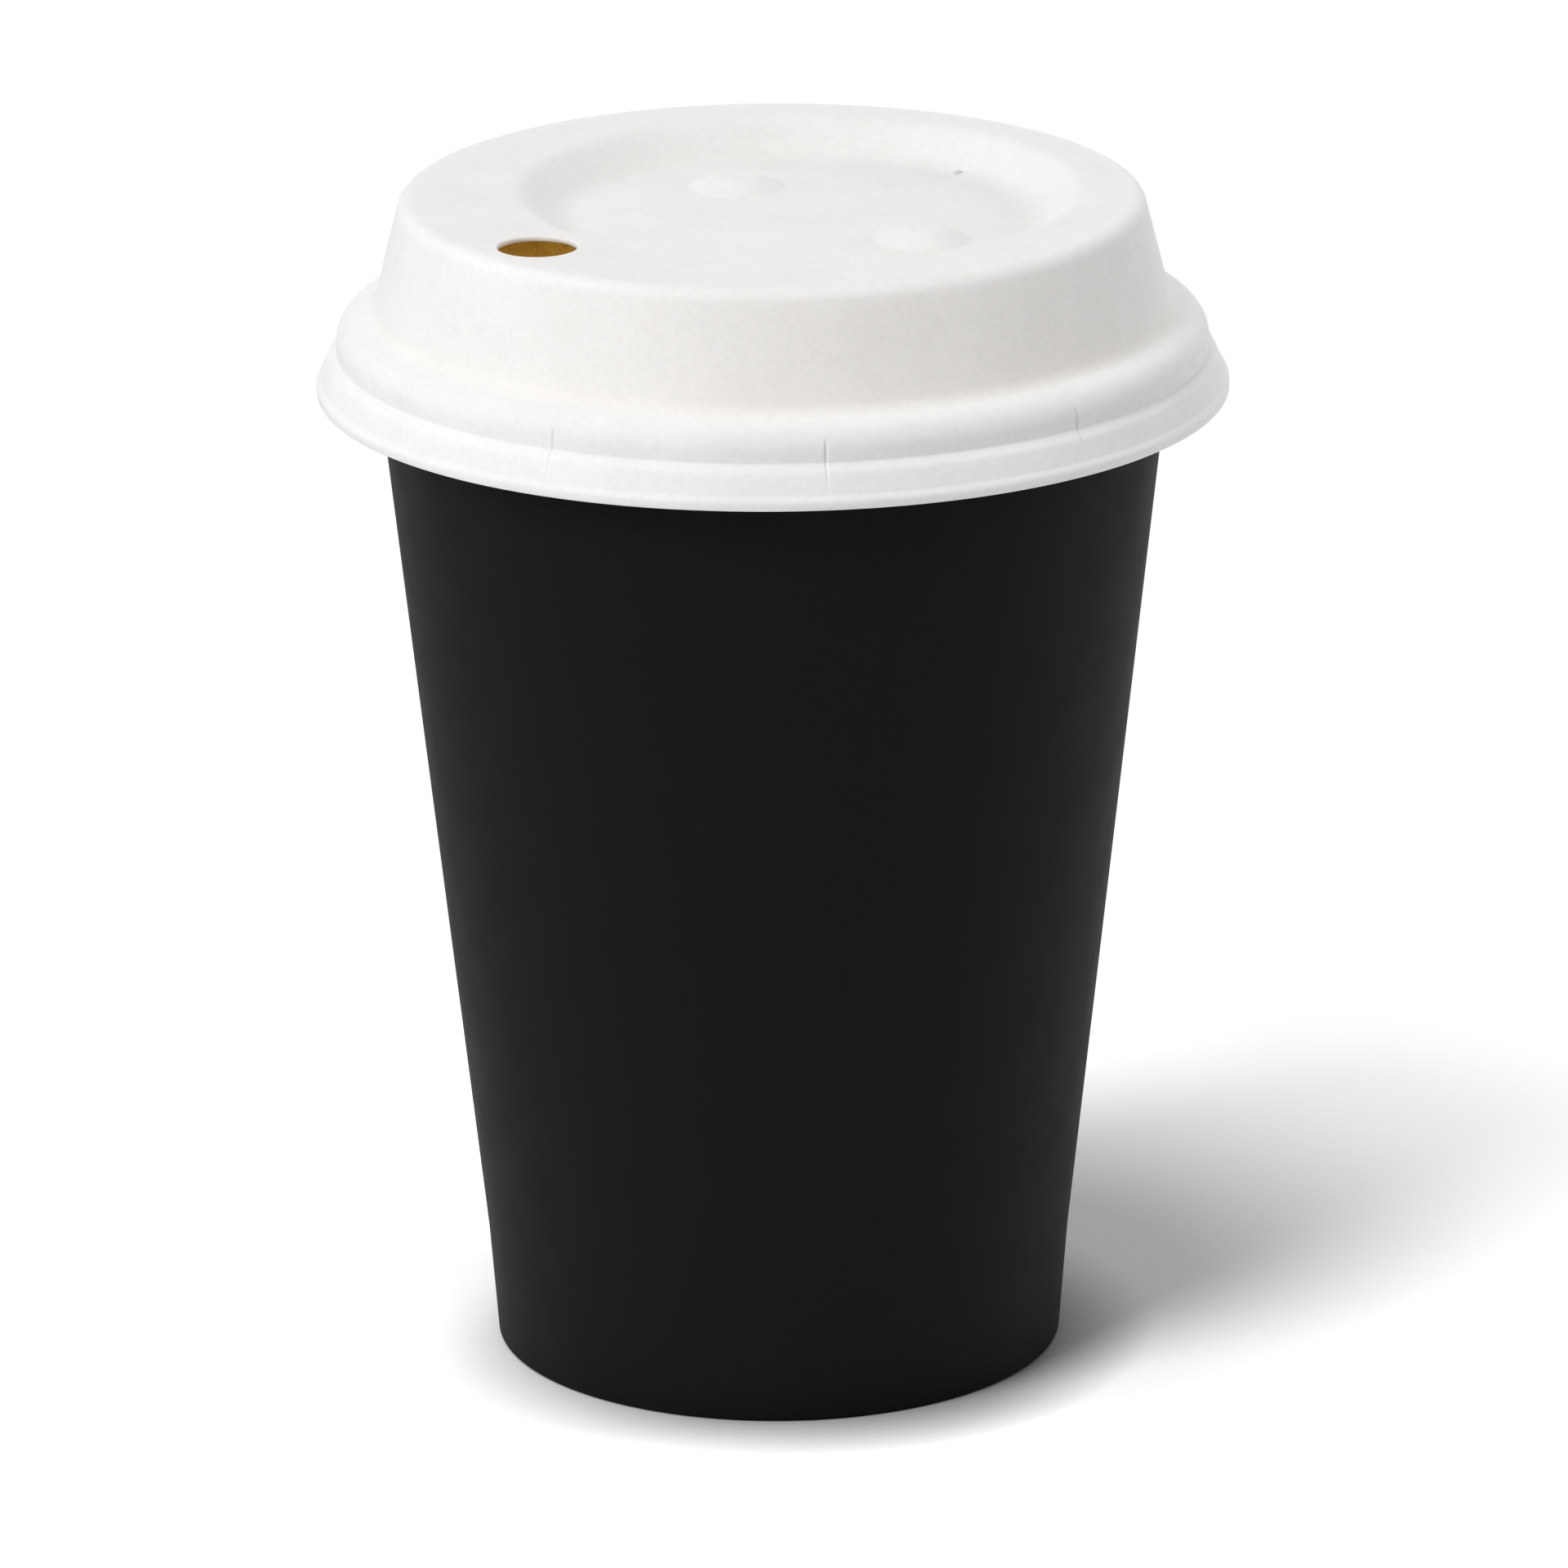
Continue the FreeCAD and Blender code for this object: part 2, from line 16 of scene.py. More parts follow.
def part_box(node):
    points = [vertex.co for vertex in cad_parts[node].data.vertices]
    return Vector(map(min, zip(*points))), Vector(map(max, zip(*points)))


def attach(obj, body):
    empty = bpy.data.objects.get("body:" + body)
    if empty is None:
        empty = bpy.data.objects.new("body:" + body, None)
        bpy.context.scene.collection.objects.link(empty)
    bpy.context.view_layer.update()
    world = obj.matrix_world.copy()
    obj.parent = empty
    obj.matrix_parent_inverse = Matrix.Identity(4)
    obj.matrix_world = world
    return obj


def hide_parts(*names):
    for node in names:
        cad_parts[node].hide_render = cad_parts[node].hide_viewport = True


MM = 0.001
TAU = 2 * math.pi

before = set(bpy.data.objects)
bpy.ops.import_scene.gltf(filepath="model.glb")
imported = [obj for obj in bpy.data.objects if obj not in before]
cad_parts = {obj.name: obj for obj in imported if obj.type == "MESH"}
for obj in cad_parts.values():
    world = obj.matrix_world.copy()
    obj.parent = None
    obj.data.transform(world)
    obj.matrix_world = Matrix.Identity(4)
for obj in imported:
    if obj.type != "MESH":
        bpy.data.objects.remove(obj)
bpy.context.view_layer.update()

# Driving sizes in millimetres, the same as the solids'.
BOARD = 0.35
FOOT_RADIUS, RIM_RADIUS = 30.25, 45.0
KNEE_FLARE, KNEE_RISE = 0.95, 4.45
BEAD_WIDTH, BEAD_HEIGHT, BEAD_FLAT = 2.72, 3.05, 0.05
TUCK_BEND, TUCK_GAP, TUCK_END, TUCK_LEAN = 0.9, 0.12, 0.29, math.radians(10.5)
FOLD_BEND, GLUE_GAP, BASE_BEND, FLAP_GAP, SKIRT_END_GAP = 0.1, 0.05, 0.5, 0.4, 0.05
SEAM_WIDTH, SEAM_STEP, SEAM_END_GAP = 7.0, 0.3, 1.0
SHELL = 0.65
RIM_PLAY, SEAT_GAP = 0.2, 0.26
SHOULDER_SLOPE, SHOULDER_WIDTH, SHOULDER_EASE = math.radians(16.87), 3.86, 0.54
DOME_LEAN, DOME_HEIGHT, DOME_FOOT_BEND, LAND_BEND = 3.04, 12.1, 1.78, 1.02
CREASE_DROP, CREASE_BEND = 2.9, 0.3
FLANGE_STEP, FLANGE_STEP_DROP, FLANGE_BEND, FLANGE_FLARE, FLANGE_DROP = 0.8, 0.75, 0.65, 0.9, 2.2
LIP_STEP, LIP_BEND, LIP_UPPER_BEND, LIP_DROP = 0.45, 0.13, 0.5, 1.02
LID_TURN = math.radians(41.4)
LAND_WIDE, LAND_NARROW = 13.05, 5.25
RECESS_SLANT, RECESS_DEPTH, RECESS_EDGE_BEND, RECESS_FOOT_BEND = 4.6, 3.6, 2.8, 5.0
BUMP_RADIUS, BUMP_HEIGHT, BUMP_SLANT, BUMP_BEND = 5.2, 1.3, 3.0, 2.4
BUMP_FORWARD, BUMP_INSET = 3.9, 10.6
HOLE_RADIUS, HOLE_SHIFT = 4.1, 0.225
VENT_RADIUS, VENT_INSET, VENT_SIDE = 0.3, 0.2, 2.4
CREASES, CREASE_WIDTH, CREASE_DEPTH = 10, 0.35, 0.22
CREASE_TURN = math.radians(19.3)

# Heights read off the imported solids.
RIM_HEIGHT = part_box("cup_wall")[1].z / MM
BASE_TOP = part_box("cup_base")[1].z / MM

# Softened edges, which the solids leave sharp.
HOLE_SOFT, LIP_SOFT, BUMP_FOOT_BEND = 0.24, 0.14, 1.0

# Longest step round a bend.
ARC_STEP = math.radians(11)

# Lengths below this count as nothing, and points nearer than this as one.
NO_LENGTH, SAME_PLACE = 1e-9, 1e-6


def unit(vector):
    return vector / np.linalg.norm(vector)


def cross(a, b):
    return float(a[0] * b[1] - a[1] * b[0])


def fade(value, low, high):
    """0 up to low, 1 from high on, smooth between."""
    share = np.clip((value - low) / (high - low), 0, 1)
    return share * share * (3 - 2 * share)


def rounded_run(corners, line_step):
    """Points and left-hand normals along lines through (r, z, bend) corners, rounded at the bends."""
    spots = [np.array(corner[:2], float) for corner in corners]
    pieces = []
    cursor = spots[0]
    for index, (_, _, radius) in enumerate(corners[1:-1], start=1):
        before = unit(spots[index - 1] - spots[index])
        after = unit(spots[index + 1] - spots[index])
        if not radius:
            pieces.append(("line", cursor, spots[index]))
            cursor = spots[index]
            continue
        half = math.acos(max(-1.0, min(1.0, float(before @ after)))) / 2
        reach = radius / math.tan(half)
        centre = spots[index] + unit(before + after) * (radius / math.sin(half))
        start, end = spots[index] + before * reach, spots[index] + after * reach
        pieces.append(("line", cursor, start))
        pieces.append(("arc", start, end, centre, math.pi - 2 * half, radius))
        cursor = end
    pieces.append(("line", cursor, spots[-1]))

    points, normals = [], []
    for piece in pieces:
        if piece[0] == "line":
            start, end = piece[1:]
            length = float(np.linalg.norm(end - start))
            if length < NO_LENGTH:
                continue
            ahead = (end - start) / length
            side = np.array([-ahead[1], ahead[0]])
            count = max(1, math.ceil(length / line_step))
            for share in np.linspace(0, 1, count + 1):
                points.append(start + (end - start) * share)
                normals.append(side)
        else:
            start, end, centre, turn, radius = piece[1:]
            left = cross(end - start, centre - start) > 0
            count = max(2, math.ceil(turn / ARC_STEP))
            first = math.atan2(*(start - centre)[::-1])
            for share in np.linspace(0, 1, count + 1):
                angle = first + turn * share * (1 if left else -1)
                spoke = np.array([math.cos(angle), math.sin(angle)])
                points.append(centre + radius * spoke)
                normals.append(-spoke if left else spoke)
    kept = [0]
    for index in range(1, len(points)):
        if np.linalg.norm(points[index] - points[kept[-1]]) > SAME_PLACE:
            kept.append(index)
        else:
            normals[kept[-1]] = unit(normals[kept[-1]] + normals[index])
    return np.array([points[i] for i in kept]), np.array([normals[i] for i in kept])


def add_mesh(name, points, faces, materials, face_material=None):
    """A smooth-shaded object from points in millimetres."""
    mesh = bpy.data.meshes.new(name)
    mesh.from_pydata([tuple(float(v) * MM for v in point) for point in points], [], faces)
    for material in materials:
        mesh.materials.append(material)
    if face_material is not None:
        mesh.polygons.foreach_set("material_index", face_material)
    mesh.polygons.foreach_set("use_smooth", [True] * len(mesh.polygons))
    mesh.update()
    mesh.validate()
    piece = bpy.data.objects.new(name, mesh)
    bpy.context.scene.collection.objects.link(piece)
    return piece


def ring(outline, height, azimuths):
    """Points at these azimuths, at one height and at one radius or a radius for each."""
    return np.column_stack([
        outline * np.cos(azimuths), outline * np.sin(azimuths), np.full(len(azimuths), height)])


def ring_faces(rings, columns, closed_loop):
    """Quads between neighbouring rings of points, numbered ring by ring."""
    faces = []
    last = rings if closed_loop else rings - 1
    for lower in range(last):
        here, there = lower * columns, (lower + 1) % rings * columns
        for column in range(columns):
            following = (column + 1) % columns
            faces.append((here + column, there + column, there + following, here + following))
    return faces


def new_material(name, **settings):
    """A Principled material with constants set on its own sockets, and its node tree."""
    material = bpy.data.materials.new(name)
    material.use_nodes = True
    tree = material.node_tree
    shader = tree.nodes["Principled BSDF"]
    for socket, value in settings.items():
        shader.inputs[socket.replace("_", " ")].default_value = value
    return material, tree, shader


def add_node(tree, kind, inputs=None, **fields):
    """A node with its fields set, and its inputs set or linked."""
    node = tree.nodes.new(kind)
    for field, value in fields.items():
        setattr(node, field, value)
    for socket, value in (inputs or {}).items():
        if isinstance(value, bpy.types.NodeSocket):
            tree.links.new(value, node.inputs[socket])
        else:
            node.inputs[socket].default_value = value
    return node


def object_coordinates(tree):
    return add_node(tree, "ShaderNodeTexCoord").outputs["Object"]


def noise(tree, where, scale, detail=3.0, roughness=0.55, distortion=0.0):
    return add_node(tree, "ShaderNodeTexNoise", {
        "Vector": where, "Scale": scale, "Detail": detail,
        "Roughness": roughness, "Distortion": distortion}).outputs["Fac"]


def ramp(tree, fac, *stops):
    """A colour ramp from (position, colour) stops."""
    node = add_node(tree, "ShaderNodeValToRGB", {"Fac": fac})
    elements = node.color_ramp.elements
    while len(elements) < len(stops):
        elements.new(0.5)
    for element, (position, colour) in zip(elements, stops):
        element.position = position
        element.color = (*colour, 1.0)
    return node.outputs["Color"]


def grey(value):
    return (value, value, value)


def multiply(tree, tone, shade):
    """One colour times another."""
    mixed = add_node(tree, "ShaderNodeMix", {"Factor": 1.0}, data_type="RGBA", blend_type="MULTIPLY")
    tree.links.new(tone, mixed.inputs["A"])
    tree.links.new(shade, mixed.inputs["B"])
    return mixed.outputs["Result"]


def bump(tree, height, distance, below=None):
    """A normal raised by the height over this distance in metres, on top of another normal."""
    inputs = {"Height": height, "Distance": distance}
    if below is not None:
        inputs["Normal"] = below
    return add_node(tree, "ShaderNodeBump", inputs).outputs["Normal"]


def fibre_material():
    """White moulded plant fibre: matte, faintly mottled, a little light comes through it."""
    material, tree, shader = new_material(
        "moulded_fibre", Roughness=0.78, Specular_IOR_Level=0.2, Subsurface_Weight=0.5,
        Subsurface_Scale=0.002, Subsurface_Radius=(1.0, 1.0, 1.0))
    where = object_coordinates(tree)
    cloud = noise(tree, where, scale=130.0, detail=4.0, roughness=0.6)
    fleck = noise(tree, where, scale=1400.0, roughness=0.65, distortion=0.4)
    tone = ramp(tree, cloud, (0.3, (0.825, 0.82, 0.81)), (0.7, (0.86, 0.855, 0.848)))
    shade = ramp(tree, fleck, (0.25, grey(0.955)), (0.6, grey(1.0)))
    tree.links.new(multiply(tree, tone, shade), shader.inputs["Base Color"])
    coarse = bump(tree, cloud, 0.00005)
    tree.links.new(bump(tree, fleck, 0.000018, below=coarse), shader.inputs["Normal"])
    return material


def printed_material():
    """Matte black print on coated board, with the grain of the paper under it."""
    material, tree, shader = new_material(
        "black_board", Base_Color=(0.0066, 0.0062, 0.0055, 1), Specular_IOR_Level=0.06)
    where = object_coordinates(tree)
    cloud = noise(tree, where, scale=160.0)
    grain = noise(tree, where, scale=2600.0, detail=2.0, roughness=0.6)
    dull = ramp(tree, cloud, (0.3, grey(0.60)), (0.7, grey(0.66)))
    tree.links.new(dull, shader.inputs["Roughness"])
    coarse = bump(tree, cloud, 0.00002)
    tree.links.new(bump(tree, grain, 0.000008, below=coarse), shader.inputs["Normal"])
    return material


def kraft_material(name, light, dark):
    """Plain brown board: short fibres in two browns under a thin coat."""
    material, tree, shader = new_material(name, Roughness=0.6, Specular_IOR_Level=0.15)
    where = object_coordinates(tree)
    fibre = noise(tree, where, scale=1500.0, detail=4.0, roughness=0.7, distortion=1.2)
    cloud = noise(tree, where, scale=90.0)
    tone = ramp(tree, fibre, (0.32, dark), (0.62, light))
    shade = ramp(tree, cloud, (0.3, grey(0.92)), (0.7, grey(1.0)))
    tree.links.new(multiply(tree, tone, shade), shader.inputs["Base Color"])
    tree.links.new(bump(tree, fibre, 0.00001), shader.inputs["Normal"])
    return material


FIBRE = fibre_material()
PRINT = printed_material()
KRAFT = kraft_material("kraft_inside", (0.58, 0.39, 0.12), (0.42, 0.27, 0.07))
CUT_EDGE = kraft_material("kraft_edge", (0.55, 0.41, 0.25), (0.42, 0.30, 0.17))


# Cup wall: the bonded zone up to the knee, the cone above it, and the rolled bead.
KNEE_RADIUS = FOOT_RADIUS + KNEE_FLARE
KNEE_HEIGHT = BASE_TOP + KNEE_RISE
MOUTH_RADIUS = RIM_RADIUS - BEAD_WIDTH
ZONE_LEAN = KNEE_FLARE / KNEE_HEIGHT
CONE_LEAN = (MOUTH_RADIUS - KNEE_RADIUS) / (RIM_HEIGHT - KNEE_HEIGHT)
BEAD_SPAN = BEAD_WIDTH + BOARD / math.cos(math.atan(CONE_LEAN))
BEAD_BEND = (min(BEAD_SPAN, BEAD_HEIGHT) - BEAD_FLAT) / 2
BEAD_FLOOR = RIM_HEIGHT - BEAD_HEIGHT
FLAP_HEIGHT = BASE_TOP - BOARD - BASE_BEND - FLAP_GAP

# The lap: its closed side rises over an ease, its cut side is a step, and its ends run out.
SEAM_AZIMUTH = math.pi / 2
SEAM_EASE, SEAM_CUT = 2.2, 0.01
SEAM_FOOT_EASE, SEAM_TOP_EASE = 0.6, 0.8
# Columns of the mesh before the closed side, just inside the cut side and just past it.
SEAM_EASE_COLUMNS, SEAM_CUT_COLUMN, SEAM_PAST_COLUMN = (2.3, 1.6, 1.1, 0.6), 0.06, 0.5

# The pressed ribs on the glued flap, and how they start and end.
KNURLS, KNURL_DEPTH = 96, 0.05
KNURL_FROM, KNURL_FULL, KNURL_END = 0.6, 1.4, 0.6

WALL_COLUMNS, WALL_STEP = 4 * KNURLS, 3.0


def zone_radius(height):
    return FOOT_RADIUS + height * ZONE_LEAN


def cone_radius(height):
    return MOUTH_RADIUS - (RIM_HEIGHT - height) * CONE_LEAN


def wall_run():
    """The sheet's bare face, from the flap's end under the base up to the bead's tucked end."""
    face = BOARD / math.cos(math.atan(ZONE_LEAN))
    pocket = (BOARD + 2 * GLUE_GAP) / math.cos(math.atan(ZONE_LEAN))
    tuck = cone_radius(BEAD_FLOOR) + TUCK_GAP
    length = TUCK_BEND * math.tan((math.pi / 2 + TUCK_LEAN) / 2) + TUCK_END
    corners = (
        (zone_radius(FLAP_HEIGHT) - face - pocket, FLAP_HEIGHT, None),
        (zone_radius(BOARD) - face - pocket, BOARD, FOLD_BEND),
        (zone_radius(BOARD) - face, BOARD, FOLD_BEND),
        (KNEE_RADIUS - face, KNEE_HEIGHT, None),
        (RIM_RADIUS - BEAD_SPAN, RIM_HEIGHT, BEAD_BEND),
        (RIM_RADIUS, RIM_HEIGHT, BEAD_BEND),
        (RIM_RADIUS, BEAD_FLOOR, BEAD_BEND),
        (tuck, BEAD_FLOOR, TUCK_BEND),
        (tuck + length * math.sin(TUCK_LEAN), BEAD_FLOOR + length * math.cos(TUCK_LEAN), None),
    )
    return rounded_run(corners, WALL_STEP)


def lap_height(side, height):
    """How far the lap stands out, by the distance from the seam's middle."""
    half = SEAM_WIDTH / 2
    across = fade(side, -half - SEAM_EASE, -half) * (side < half - SEAM_CUT / 2)
    low, high = SEAM_END_GAP, BEAD_FLOOR - SEAM_END_GAP
    start = fade(height, low - SEAM_FOOT_EASE, low + SEAM_FOOT_EASE)
    end = 1 - fade(height, high - SEAM_TOP_EASE, high + SEAM_TOP_EASE)
    return SEAM_STEP * across * start * end


def knurl_height(turns, height):
    """Depth of the flap's pressed ribs."""
    start = fade(height, KNURL_FROM, KNURL_FULL)
    end = 1 - fade(height, FLAP_HEIGHT - KNURL_END, FLAP_HEIGHT)
    return KNURL_DEPTH * start * end * np.sin(turns * KNURLS)


def make_cup_wall():
    """The rolled and folded sheet: bare brown face inside and over the bead, black outside."""
    bare, left = wall_run()
    # The sheet's printed face lies a board's thickness to the right of the bare one.
    printed = bare - left * BOARD
    run = np.vstack([bare, printed[::-1]])
    count, rings = len(bare), len(run)
    half = SEAM_WIDTH / 2
    seam_sides = np.array(
        [-half - reach for reach in SEAM_EASE_COLUMNS] + [-half, -half / 2, 0.0, half / 2]
        + [half - SEAM_CUT_COLUMN, half - SEAM_CUT, half, half + SEAM_PAST_COLUMN])
    cut = list(seam_sides).index(half - SEAM_CUT)
    others = WALL_COLUMNS - len(seam_sides)
    points = []
    for index, (radius, height) in enumerate(run):
        around = seam_sides / radius
        gap = TAU - (around[-1] - around[0])
        rest = around[-1] + gap * np.arange(1, others + 1) / (others + 1)
        turns = np.concatenate([around, rest])
        outline = np.full(WALL_COLUMNS, radius)
        if index >= count and radius > zone_radius(0) - BOARD and height < BEAD_FLOOR:
            sides = np.where(turns < math.pi, turns, turns - TAU) * radius
            outline = outline + lap_height(sides, height)
        if index < count and height <= FLAP_HEIGHT and radius < zone_radius(height) - 2 * BOARD:
            outline = outline + knurl_height(turns, height)
        points.append(ring(outline, height, SEAM_AZIMUTH + turns))
    faces = ring_faces(rings, WALL_COLUMNS, True)
    bands = np.ones(rings, int)
    bands[:count - 1] = 0
    bands[count - 1] = bands[rings - 1] = 2
    face_material = np.repeat(bands, WALL_COLUMNS)
    face_material[np.arange(count, rings - 1) * WALL_COLUMNS + cut] = 2
    wall = add_mesh("cup_board", np.vstack(points), faces, (KRAFT, PRINT, CUT_EDGE), face_material)
    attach(wall, "cup")
    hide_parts("cup_wall")


BASE_COLUMNS, BASE_STEP = 240, 4.0


def make_cup_base():
    """The pressed disc, with its skirt glued between the wall and the flap."""
    inset = (BOARD + GLUE_GAP) / math.cos(math.atan(ZONE_LEAN))
    end = BOARD + FOLD_BEND + SKIRT_END_GAP
    corners = (
        (0.0, BASE_TOP, None),
        (zone_radius(BASE_TOP) - inset, BASE_TOP, BASE_BEND + BOARD),
        (zone_radius(end) - inset, end, None),
    )
    over, left = rounded_run(corners, BASE_STEP)
    under = over - left * BOARD
    run = np.vstack([over[1:], under[:0:-1]])
    azimuths = TAU * np.arange(BASE_COLUMNS) / BASE_COLUMNS
    points = [ring(radius, height, azimuths) for radius, height in run]
    faces = ring_faces(len(run), BASE_COLUMNS, False)
    total = len(run) * BASE_COLUMNS
    last = total - BASE_COLUMNS
    points.append(np.array([[0, 0, over[0][1]], [0, 0, under[0][1]]]))
    for column in range(BASE_COLUMNS):
        following = (column + 1) % BASE_COLUMNS
        faces.append((total, column, following))
        faces.append((total + 1, last + following, last + column))
    base = add_mesh("cup_base_disc", np.vstack(points), faces, (KRAFT,))
    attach(base, "cup")
    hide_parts("cup_base")


# Lid: the wall's corners from the land down to the lip.
SKIRT_RADIUS = RIM_RADIUS + RIM_PLAY + SHELL
CREST_RADIUS = RIM_RADIUS - (BEAD_WIDTH + BOARD) / 2
SHOULDER = RIM_HEIGHT + SEAT_GAP + SHELL / math.cos(SHOULDER_SLOPE) \
    - (SKIRT_RADIUS - CREST_RADIUS) * math.tan(SHOULDER_SLOPE)
DOME_FOOT_RADIUS = SKIRT_RADIUS - SHOULDER_WIDTH
DOME_FOOT = SHOULDER + SHOULDER_WIDTH * math.tan(SHOULDER_SLOPE)
LAND_RADIUS = DOME_FOOT_RADIUS - DOME_LEAN
LID_TOP = DOME_FOOT + DOME_HEIGHT
CREASE = RIM_HEIGHT - CREASE_DROP
FLANGE_TOP = SKIRT_RADIUS + FLANGE_STEP
FLANGE_FOOT = FLANGE_TOP + FLANGE_FLARE
FLANGE_FLOOR = CREASE - FLANGE_STEP_DROP - FLANGE_DROP
LIP_RADIUS = FLANGE_FOOT + LIP_STEP
LIP_TOP = FLANGE_FLOOR - LIP_STEP
LIP_FLOOR = LIP_TOP - LIP_DROP

# The top's features in the lid's own plan, with u towards the vent and v to its left.
RECESS_RADIUS = LAND_RADIUS - (LAND_WIDE + LAND_NARROW) / 2
RECESS_MIDDLE = (LAND_WIDE - LAND_NARROW) / 2
FLOOR_RADIUS = RECESS_RADIUS - RECESS_SLANT
RECESS_FLOOR = LID_TOP - RECESS_DEPTH
BUMPS = [(RECESS_MIDDLE + BUMP_FORWARD, side * (FLOOR_RADIUS - BUMP_INSET)) for side in (-1, 1)]
HOLE = (LAND_WIDE / 2 + HOLE_SHIFT - LAND_RADIUS, 0.0)
VENT = (RECESS_MIDDLE + FLOOR_RADIUS - VENT_INSET, VENT_SIDE)

# The relief creases deepen below the crease's bend and run out above it, between these heights.
CREASE_FROM, CREASE_FULL, CREASE_EASE, CREASE_END = -2.6, -0.2, 1.5, 2.5

# The pressed fibre is uneven by this depth, over waves of these sizes outside and inside.
UNEVEN_DEPTH, OUTER_WAVE, INNER_WAVE = 0.03, 9.0, 7.0
# The inside's unevenness is taken from another place of the same noise.
INNER_SHIFT = 50.0

# Columns round the wall: even ones, and closer ones at these distances beside each crease.
LID_COLUMNS, LID_STEP = 360, 1.0
CREASE_COLUMNS = (-0.5, -0.32, -0.2, -0.13, -0.07, 0.0, 0.07, 0.13, 0.2, 0.32, 0.5)
CREASE_CLEAR = 0.75
# The wall's run begins this far in from the dome's corner, on the flat land.
LAND_REACH = 4.0

# Mesh of the top in plan: round the holes, over the bumps, over the recess and over the land.
TOP_STEP, NORMAL_STEP = 0.5, 0.02
HOLE_POINTS, HOLE_RING, HOLE_CLEAR = 96, 0.35, 0.6
VENT_POINTS, VENT_RING, VENT_CLEAR = 24, 1.0, 1.2
BUMP_REACH, BUMP_RING_STEP, BUMP_POINT_STEP, BUMP_CLEAR = 6.2, 0.38, 0.5, 6.1
FLOOR_REACH, FLOOR_RING_STEP = 23.0, 0.9
SLOPE_FROM, SLOPE_REACH, SLOPE_RING_STEP = 23.2, 31.6, 0.3
RECESS_POINT_STEP, RECESS_LEAST_POINTS = 0.7, 6
LAND_FROM, LAND_POINTS, EDGE_CLEAR = 31.5, 300, 0.15
LAND_SHARES = np.arange(0.06, 0.985, 0.085)

TOP_RUN = rounded_run((
    (0.0, RECESS_FLOOR, None),
    (FLOOR_RADIUS, RECESS_FLOOR, RECESS_FOOT_BEND),
    (RECESS_RADIUS, LID_TOP, RECESS_EDGE_BEND),
    (2 * LAND_RADIUS, LID_TOP, None),
), TOP_STEP)[0]
BUMP_RUN = rounded_run((
    (-1.0, BUMP_HEIGHT, None),
    (BUMP_RADIUS - BUMP_SLANT, BUMP_HEIGHT, BUMP_BEND),
    (BUMP_RADIUS, 0.0, BUMP_FOOT_BEND),
    (2 * BUMP_RADIUS, 0.0, None),
), TOP_STEP)[0]


def top_height(u, v):
    """Height of the lid's top over the lid's own plan."""
    height = np.interp(np.hypot(u - RECESS_MIDDLE, v), TOP_RUN[:, 0], TOP_RUN[:, 1])
    for bump_u, bump_v in BUMPS:
        height = height + np.interp(np.hypot(u - bump_u, v - bump_v), BUMP_RUN[:, 0], BUMP_RUN[:, 1])
    return height


def top_normal(u, v):
    step = NORMAL_STEP
    slope_u = (top_height(u + step, v) - top_height(u - step, v)) / (2 * step)
    slope_v = (top_height(u, v + step) - top_height(u, v - step)) / (2 * step)
    normal = np.column_stack([-slope_u, -slope_v, np.ones_like(slope_u)])
    return normal / np.linalg.norm(normal, axis=1)[:, None]


def off_creases(azimuths, creases):
    """Turn from each azimuth to its nearest relief crease."""
    turns = (azimuths[:, None] - creases[None, :] + math.pi) % TAU - math.pi
    return np.min(np.abs(turns), axis=1)


def lid_azimuths():
    """Directions of the wall's columns in the lid's plan, and those of its relief creases."""
    even = TAU * np.arange(LID_COLUMNS) / LID_COLUMNS
    creases = CREASE_TURN + TAU * np.arange(CREASES) / CREASES
    close = (creases[:, None] + np.array(CREASE_COLUMNS)[None, :] / SKIRT_RADIUS).ravel() % TAU
    clear = off_creases(even, creases) > CREASE_CLEAR / SKIRT_RADIUS
    return np.sort(np.concatenate([even[clear], close])), creases


def circle_points(middle, radius, count):
    angle = TAU * np.arange(count) / count
    return np.column_stack([middle[0] + radius * np.cos(angle), middle[1] + radius * np.sin(angle)])


def distance_to(points, place):
    return np.hypot(points[:, 0] - place[0], points[:, 1] - place[1])


def plan_cloud(outer):
    """Loose points of the top in plan, clear of its holes and of its outer edge."""
    rings = []
    for place in BUMPS:
        for radius in np.arange(0.0, BUMP_REACH, BUMP_RING_STEP):
            rings.append(circle_points(place, radius, max(1, round(TAU * radius / BUMP_POINT_STEP))))
    for radius in (*np.arange(0.0, FLOOR_REACH, FLOOR_RING_STEP),
                   *np.arange(SLOPE_FROM, SLOPE_REACH, SLOPE_RING_STEP)):
        count = max(RECESS_LEAST_POINTS, round(TAU * radius / RECESS_POINT_STEP))
        circle = circle_points((RECESS_MIDDLE, 0.0), radius, count)
        for place in BUMPS:
            circle = circle[distance_to(circle, place) > BUMP_CLEAR]
        rings.append(circle)
    # The land's rings move from round the recess to round the lid.
    for share in LAND_SHARES:
        middle = (RECESS_MIDDLE * (1 - share), 0.0)
        rings.append(circle_points(middle, LAND_FROM + (outer - LAND_FROM) * share, LAND_POINTS))
    loose = np.vstack(rings)
    away = distance_to(loose, HOLE) > HOLE_RADIUS + HOLE_SOFT + HOLE_CLEAR
    away &= distance_to(loose, VENT) > VENT_CLEAR
    away &= distance_to(loose, (0.0, 0.0)) < outer - EDGE_CLEAR
    return np.vstack([
        circle_points(HOLE, HOLE_RADIUS + HOLE_SOFT + HOLE_RING, HOLE_POINTS),
        circle_points(VENT, VENT_RING, VENT_POINTS),
        loose[away]])


